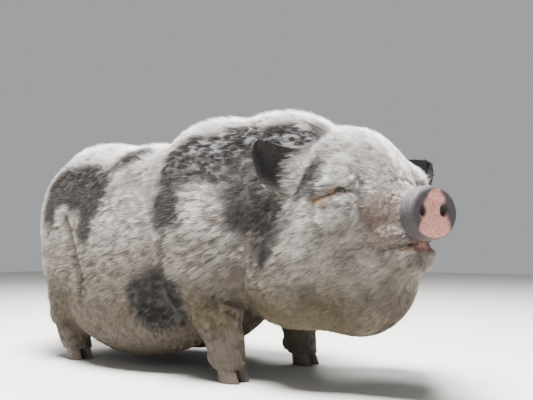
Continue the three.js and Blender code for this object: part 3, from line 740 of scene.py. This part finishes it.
def lie(p, q, normal):
    """The way the hair points at each root, along the skin: back on the trunk, down on legs and tail."""
    side = 1 - np.abs(normal[:, 2])
    way = np.array((-1.0, 0, 0)) + np.array((0, 0, -0.35)) * side[:, None]
    on_leg = smooth(150, 70, p[:, 2])[:, None] * (np.abs(p[:, 1]) > 60)[:, None] * (p[:, 0] < 300)[:, None]
    way = way * (1 - on_leg) + np.array((-0.1, 0, -1.0)) * on_leg
    on_head = (smooth(-90, -30, q[:, 0]) * (p[:, 0] > 250))[:, None]
    outward = np.sign(q[:, 1])[:, None] * np.array((0, 0.45, 0))
    drop = -smooth(30, -120, q[:, 2])[:, None] * np.array((0, 0, 0.55))
    face_way = (np.array((-1.0, 0, 0)) + outward + drop) @ HEAD_TURN.T
    way = way * (1 - on_head) + face_way * on_head
    on_ear = ear_share(q)[:, None] > 0.5
    ear_way = (np.sign(q[:, 1])[:, None] * np.array((0, 1.0, 0)) + np.array((0, 0, 0.1))) @ HEAD_TURN.T
    way = np.where(on_ear, ear_way, way)
    way = way + noise_way(p, 60) * 0.18 + noise_way(p, 14) * 0.06
    way -= normal * np.einsum("ij,ij->i", way, normal)[:, None]
    on_tail = (p[:, 0] < TAIL_START)[:, None] & (np.abs(p[:, 1]) < TAIL_REACH)[:, None]
    way = np.where(on_tail, noise_way(p, 9) * 0.1 + (0, 0, -1), way)
    return way / length(way)[:, None]


CLUMPS = 30000
HAIRS_PER_CLUMP = 12
CLUMP_SPREAD = 3.4
HAIR_LENGTH = 18.0
HAIR_WIDTH = 0.66
SWITCH_LENGTH = 62.0
PIECES = 10


def hair_sizes(p, q, normal):
    """Length and lift of the hair at each root: long on topline, brow and switch, short on face and feet."""
    head_share = smooth(-70, 10, q[:, 0]) * (p[:, 0] > 300)
    long = HAIR_LENGTH * (1 - 0.22 * head_share)
    long = long * (1 - 0.55 * smooth(70, 135, q[:, 0]) * head_share * smooth(-112, -98, q[:, 2]))
    long = long * (0.35 + 0.65 * smooth(20, 150, p[:, 2]))
    on_ear = ear_share(q)
    long = long * (1 - 0.5 * on_ear)
    topline = smooth(0.7, 0.96, normal[:, 2]) * smooth(330, 420, p[:, 2])
    brow = smooth(30, 8, path_distance(folded(q), BROW_FOLD)) * (q[:, 2] > -8)
    long = long * (1 + 0.6 * topline + 0.2 * brow)
    lift = 0.2 + 0.2 * topline + 0.2 * brow - 0.03 * head_share - 0.1 * on_ear
    switch = smooth(262, 232, p[:, 2]) * (p[:, 0] < TAIL_START)
    return long * (1 - switch) + SWITCH_LENGTH * switch, lift


def bare(p, q):
    """Where no hair grows: the snout's disc, the lips, the slit of the eye and the soles."""
    side = folded(q)
    disc = (q[:, 0] > 152) & (q[:, 2] > -94)
    lips = (path_distance(side, MOUTH_LINE) < 7) | ((q[:, 0] > 152) & (q[:, 2] > -106))
    slit = path_distance(side, EYE_SLIT) < 6
    return disc | lips | slit | (p[:, 2] < ANKLE + 3)


# Roots lie evenly over the hide, closer on the head and the tail's switch, and thinner on ears and in folds
triangles = np.empty(len(skin.data.polygons) * 3, np.int32)
skin.data.polygons.foreach_get("vertices", triangles)
triangles = triangles.reshape(-1, 3)
normals = np.empty(len(points) * 3, np.float32)
skin.data.vertices.foreach_get("normal", normals)
normals = normals.reshape(-1, 3)
corner = points[triangles]
area = length(np.cross(corner[:, 1] - corner[:, 0], corner[:, 2] - corner[:, 0])) / 2
middle = corner.mean(1)
middle_q = to_head(middle)
weight = area * (1 + 1.8 * smooth(-60, 20, middle_q[:, 0]) * (middle[:, 0] > 300))
weight = weight * (1 + 5 * (middle[:, 0] < TAIL_START) * (middle[:, 2] < 270))
weight = weight * (1 - 0.6 * ear_share(middle_q)) * (1 - 0.5 * crease_share(middle, folded(middle_q)))
weight[bare(middle, middle_q)] = 0
weight /= weight.sum()
picked = rng.choice(len(triangles), CLUMPS, p=weight)
u, v = rng.random((2, CLUMPS))
flip = u + v > 1
u[flip], v[flip] = 1 - u[flip], 1 - v[flip]
share = np.stack([1 - u - v, u, v], 1)[:, :, None]
roots = (points[triangles[picked]] * share).sum(1)
root_normals = (normals[triangles[picked]] * share).sum(1)
root_normals /= length(root_normals)[:, None]
root_q = to_head(roots)
root_marks = markings(roots.astype(np.float32))
way = lie(roots, root_q, root_normals)
side = np.cross(way, root_normals)
long, lift = hair_sizes(roots, root_q, root_normals)
clump_tone = rng.normal(0, 1, CLUMPS) * 0.16 + noise(roots.astype(np.float32), 15) * 0.22

# Pig bristle is stiff keratin, coarse and dull. It is darker at the root, where little light gets between
# the hairs, and single grey hairs among the white keep the coat from looking like wool.
bristle, shader = new_material("coarse white and grey bristle", 0.6)
shader.inputs["Specular IOR Level"].default_value = 0.25
# Grizzle and shade: single grey hairs and clumps at random, plus painted shade in folds and low down. Low is
# partly the lower coat's tan, and its near black on dark hair is painted shade.
WHITE_LAYERS = [("low", colour("#988b74")), ("muzzle", colour("#a08c7e")), ("grizzle_and_shade", colour("#3a3431"))]
BLACK_LAYERS = [("low", colour("#080706")), ("grizzle_and_shade", colour("#1b1817")), ("ear", colour("#151211"))]
shades = []
for first, layers in ((colour("#fffcf7"), WHITE_LAYERS), (colour("#4a4442"), BLACK_LAYERS)):
    for layer, tint in layers:
        amount = node(bristle, "ShaderNodeAttribute", attribute_name=layer).outputs["Fac"]
        first = node(bristle, "ShaderNodeMix", {0: amount, 6: first, 7: tint}, data_type="RGBA").outputs[2]
    shades.append(first)
shade = shades[0]
for layer, tint in (("dark", shades[1]), ("stain", colour("#5c4f30")), ("rust", colour("#93621f"))):
    amount = node(bristle, "ShaderNodeAttribute", attribute_name=layer).outputs["Fac"]
    shade = node(bristle, "ShaderNodeMix", {0: amount, 6: shade, 7: tint}, data_type="RGBA").outputs[2]
root_shade = node(bristle, "ShaderNodeMix", {0: 0.85, 6: shade, 7: colour("#1e1918")},
                  data_type="RGBA").outputs[2]
amount = node(bristle, "ShaderNodeAttribute", attribute_name="along").outputs["Fac"]
shade = node(bristle, "ShaderNodeMix", {0: amount, 6: root_shade, 7: shade}, data_type="RGBA").outputs[2]
bristle.node_tree.links.new(shade, shader.inputs["Base Color"])

# The spike that every bristle is: 1 wide at its root and 1 long, with a patch of its own in the unwrap
spike = bpy.data.objects.new("spike", bpy.data.meshes.new("spike"))
spike.data.from_pydata([(-0.5, 0, 0), (0.5, 0, 0), (0, -0.6, 0), (0, 0, 1)], [],
                       [(0, 1, 2), (0, 3, 1), (1, 3, 2), (2, 3, 0)])
spike.data.materials.append(bristle)
PATCH_SIZE = 0.0015
store(spike, {"along": np.array((0, 0, 0.15, 1)),
              "patch": np.array([(-1, -1, 0), (1, -1, 0), (0, 0, 0), (0, 1, 0)]) * PATCH_SIZE})

# The tree sets a spike on each root, turned and stretched along the hair, and unwraps it for the bake
tree = bpy.data.node_groups.new("bristles", "GeometryNodeTree")
for name, kind in (("Roots", "Geometry"), ("Spike", "Object"), ("Width", "Float"), ("Finish", "Material")):
    tree.interface.new_socket(name, in_out="INPUT", socket_type="NodeSocket" + kind)
tree.interface.new_socket("Coat", in_out="OUTPUT", socket_type="NodeSocketGeometry")
given = node(tree, "NodeGroupInput").outputs
own = {}
for name, kind in (("run", "FLOAT_VECTOR"), ("across", "FLOAT_VECTOR"), ("thick", "FLOAT"),
                   ("unwrap", "FLOAT_VECTOR"), ("patch", "FLOAT_VECTOR")):
    read = node(tree, "GeometryNodeInputNamedAttribute", {"Name": name}, data_type=kind)
    own[name] = read.outputs["Attribute"]
axes = {"Primary Axis": own["run"], "Secondary Axis": own["across"]}
turned = node(tree, "FunctionNodeAxesToRotation", axes, primary_axis="Z", secondary_axis="X").outputs[0]
reach = node(tree, "ShaderNodeVectorMath", {0: own["run"]}, operation="LENGTH").outputs["Value"]
width = node(tree, "ShaderNodeMath", {0: given["Width"], 1: own["thick"]}, operation="MULTIPLY").outputs[0]
scale = node(tree, "ShaderNodeCombineXYZ", {"X": width, "Y": width, "Z": reach}).outputs[0]
spikes = node(tree, "GeometryNodeObjectInfo", {"Object": given["Spike"]}).outputs["Geometry"]
grown = node(tree, "GeometryNodeInstanceOnPoints", {"Points": given["Roots"], "Instance": spikes,
                                                    "Rotation": turned, "Scale": scale}).outputs[0]
grown = node(tree, "GeometryNodeRealizeInstances", {0: grown}).outputs[0]
place = node(tree, "ShaderNodeVectorMath", {0: own["unwrap"], 1: own["patch"]}, operation="ADD").outputs[0]
grown = node(tree, "GeometryNodeStoreNamedAttribute", {"Geometry": grown, "Name": "OFBake", "Value": place},
             data_type="FLOAT2", domain="CORNER").outputs[0]
for name in own:
    grown = node(tree, "GeometryNodeRemoveAttribute", {"Geometry": grown, "Name": name}).outputs[0]
grown = node(tree, "GeometryNodeSetMaterial", {"Geometry": grown, "Material": given["Finish"]}).outputs[0]
node(tree, "NodeGroupOutput", {0: grown})
sockets = {item.name: item.identifier for item in tree.interface.items_tree}

UNWRAP_START, UNWRAP_LENGTH, UNWRAP_HEIGHT = -452, 1110, 250
region = np.argsort(np.argsort(roots[:, 0] + roots[:, 1] * 0.01)) * PIECES // CLUMPS
for piece in range(PIECES):
    mine = np.nonzero(region == piece)[0]
    n = len(mine) * HAIRS_PER_CLUMP
    rep = np.repeat(mine, HAIRS_PER_CLUMP)
    size = long[rep][:, None]
    spread = CLUMP_SPREAD * np.clip(size / HAIR_LENGTH, 0.3, 1.1)
    offset = side[rep] * rng.normal(0, 1, (n, 1)) * spread + way[rep] * rng.normal(0, 1, (n, 1)) * spread
    rise = (lift[rep] * rng.uniform(0.6, 1.35, n))[:, None]
    reach = size * rng.uniform(0.65, 1.12, (n, 1))
    start = roots[rep] + offset - root_normals[rep] * size * 0.04
    tip = roots[rep] + offset * 0.55 + (way[rep] + root_normals[rep] * rise) * reach
    tip = tip - root_normals[rep] * size * 0.03 + side[rep] * rng.normal(0, 0.05, (n, 1)) * reach
    coat = new_object(f"coat_{piece + 1}", start)
    tone = rng.random(n)
    # Each hair's grey is partly at random and partly painted shade, darker low down and in the bottoms of
    # folds.
    grey = 0.26 + clump_tone[rep] + 0.4 * (tone > 0.76) + 0.2 * root_marks["low"][rep]
    values = {name: root_marks[name][rep] for name in ("dark", "stain", "rust", "low", "ear", "muzzle")}
    values["dark"] = values["dark"] * (1 - 0.4 * (tone < 0.08) * (1 - root_marks["ear"][rep]))
    values["grizzle_and_shade"] = np.clip(grey + 0.5 * root_marks["crease"][rep], 0, 1)
    values["run"] = (tip - start) * MM
    values["across"] = np.cross(tip - start, root_normals[rep])
    values["thick"] = (0.45 + 0.55 * np.clip(size / HAIR_LENGTH, 0, 1.3))[:, 0]
    round_body = (np.arctan2(roots[rep][:, 1], roots[rep][:, 2] - UNWRAP_HEIGHT) / (2 * pi)) % 1
    along_body = (roots[rep][:, 0] - UNWRAP_START) / UNWRAP_LENGTH
    values["unwrap"] = np.stack([round_body * 0.99 + 0.005, along_body * 0.99 + 0.005, 0 * along_body], 1)
    store(coat, values)
    grower = coat.modifiers.new("bristles", "NODES")
    grower.node_group = tree
    for name, value in (("Spike", spike), ("Width", HAIR_WIDTH * MM), ("Finish", bristle)):
        grower[sockets[name]] = value
    plain_mesh(coat)
    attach(coat, "root")
bpy.data.objects.remove(spike)


# Eyes: two balls deep in the head behind nearly closed lids, which leave only a slit of each in sight.
# They sit in the sockets that the lids' grooves leave in the skin.
EYE_PLACE = (57, -77, -13)
EYE_RADIUS = 11
IRIS_GRAIN = 2.5

# The wet film over the dark brown iris gives one small sharp glint. Its grain is drawn coarse, to show.
wet, shader = new_material("wet dark brown eye", 0.12)
shader.inputs["Coat Weight"].default_value = 1.0
place = node(wet, "ShaderNodeTexCoord").outputs["Object"]
iris = node(wet, "ShaderNodeTexNoise", {"Vector": place, "Scale": 1 / (IRIS_GRAIN * MM)}).outputs["Fac"]
brown = node(wet, "ShaderNodeMix", {0: iris, 6: colour("#120b08"), 7: colour("#3a2416")},
             data_type="RGBA").outputs[2]
wet.node_tree.links.new(brown, shader.inputs["Base Color"])


def ball(centre, radius, rings=16, sides=32):
    """A round ball as points and quads, with its poles closed once doubles are merged."""
    lat = np.linspace(0.001, pi - 0.001, rings + 1)[:, None]
    lon = (np.arange(sides) * 2 * pi / sides)[None, :]
    unit = np.stack([np.sin(lat) * np.cos(lon), np.sin(lat) * np.sin(lon), np.cos(lat) + 0 * lon], -1)
    i, j = np.meshgrid(np.arange(rings), np.arange(sides), indexing="ij")
    k = (j + 1) % sides
    quads = [i * sides + j, (i + 1) * sides + j, (i + 1) * sides + k, i * sides + k]
    return np.array(centre) + unit.reshape(-1, 3) * radius, np.stack(quads, -1).reshape(-1, 4)


for hand, side_sign in (("right", 1), ("left", -1)):
    centre = from_head((EYE_PLACE[0], EYE_PLACE[1] * side_sign, EYE_PLACE[2]))
    eye = new_object(f"eyeball_{hand}", *ball(centre, EYE_RADIUS))
    closer = bmesh.new()
    closer.from_mesh(eye.data)
    bmesh.ops.remove_doubles(closer, verts=closer.verts, dist=0.0001)
    bmesh.ops.recalc_face_normals(closer, faces=closer.faces)
    closer.to_mesh(eye.data)
    closer.free()
    eye.data.materials.append(wet)
    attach(eye, "root")
    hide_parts(f"eye_{hand}")


# Claws: two hooves of dark horn on each foot, with two dewclaws behind and above them. They are the
# solids' own shapes, under a material of their own.
RING_SPACING = 13.82
HORN_MOTTLE = 8.333

# Horn grows in rings and wears dull, in paler and darker patches. Real rings lie 1 to 2 mm apart, and these
# are drawn as coarse as the render needs. The wave node has 20 bands in 2 pi units.
horn, shader = new_material("worn dark claw horn", 0.5)
place = node(horn, "ShaderNodeTexCoord").outputs["Object"]
rings = node(horn, "ShaderNodeTexWave", {"Vector": place, "Scale": 2 * pi / (20 * RING_SPACING * MM),
                                         "Distortion": 6.0, "Detail": 3.0}, bands_direction="Z")
grit = node(horn, "ShaderNodeTexNoise", {"Vector": place, "Scale": 1 / (HORN_MOTTLE * MM), "Detail": 6.0})
tone = node(horn, "ShaderNodeMix", {0: rings.outputs["Fac"], 6: colour("#1d1916"), 7: colour("#3a312a")},
            data_type="RGBA").outputs[2]
tone = node(horn, "ShaderNodeMix", {0: grit.outputs["Fac"], 6: tone, 7: colour("#52463a")},
            data_type="RGBA").outputs[2]
horn.node_tree.links.new(tone, shader.inputs["Base Color"])
bump = node(horn, "ShaderNodeBump", {"Height": rings.outputs["Fac"], "Strength": 0.4, "Distance": 0.6 * MM})
horn.node_tree.links.new(bump.outputs[0], shader.inputs["Normal"])
for name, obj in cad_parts.items():
    if "claw" in name:
        obj.data.materials.clear()
        obj.data.materials.append(horn)


# Camera: low and in front of the pig's right side, with the horizon below the middle of the picture.
# Its place is in the forms' millimetres, and its angle to the pig's length is in degrees.
PICTURE_WIDTH, PICTURE_HEIGHT = 533, 400
FOCAL_PIXELS = 660
HORIZON_ROW = 252
CAMERA_PLACE = (1003, -1026, 228)
CAMERA_AZIMUTH = 37
camera = bpy.data.objects.new("camera", bpy.data.cameras.new("camera"))
camera.data.sensor_width = 36
camera.data.lens = 36 * FOCAL_PIXELS / PICTURE_WIDTH
lift_angle = atan((HORIZON_ROW - PICTURE_HEIGHT / 2) / FOCAL_PIXELS)
aim = Vector((-sin(radians(CAMERA_AZIMUTH)) * cos(lift_angle), cos(radians(CAMERA_AZIMUTH)) * cos(lift_angle),
              sin(lift_angle)))
camera.location = (np.array(CAMERA_PLACE) + (SHIFT, 0, 0)) * MM
camera.rotation_euler = aim.to_track_quat("-Z", "Y").to_euler()
bpy.context.scene.collection.objects.link(camera)
bpy.context.scene.camera = camera

# Stage: a plain pale floor, a pale sky all round, and three soft lamps. The strongest hangs above the
# back and leaves the belly in shade, one lights the face a little, and one rims the back from behind.
FLOOR = [(-6, -6, 0), (6, -6, 0), (6, 6, 0), (-6, 6, 0)]
floor_mesh = bpy.data.meshes.new("floor")
floor_mesh.from_pydata(FLOOR, [], [(0, 1, 2, 3)])
floor = bpy.data.objects.new("floor", floor_mesh)
bpy.context.scene.collection.objects.link(floor)
paper, shader = new_material("pale paper floor", 0.9)
shader.inputs["Base Color"].default_value = colour("#b4b2ad")
floor.data.materials.append(paper)

world = bpy.data.worlds.new("studio")
bpy.context.scene.world = world
world.use_nodes = True
world.node_tree.nodes["Background"].inputs["Color"].default_value = colour("#e6e9ee")
world.node_tree.nodes["Background"].inputs["Strength"].default_value = 0.5


def area_light(name, place, target, size, power):
    """A square lamp, with its place and size in metres and its power in watts."""
    data = bpy.data.lights.new(name, "AREA")
    data.size = size
    data.energy = power
    light = bpy.data.objects.new(name, data)
    light.location = place
    light.rotation_euler = (Vector(target) - Vector(place)).to_track_quat("-Z", "Y").to_euler()
    bpy.context.scene.collection.objects.link(light)


area_light("key", (0.1, -0.4, 2.4), (0, 0, 0.35), 1.0, 600)
area_light("fill", (2.4, -1.4, 1.0), (0.2, 0, 0.3), 2.0, 14)
area_light("back", (-0.9, 1.0, 2.2), (0, 0, 0.4), 1.2, 130)
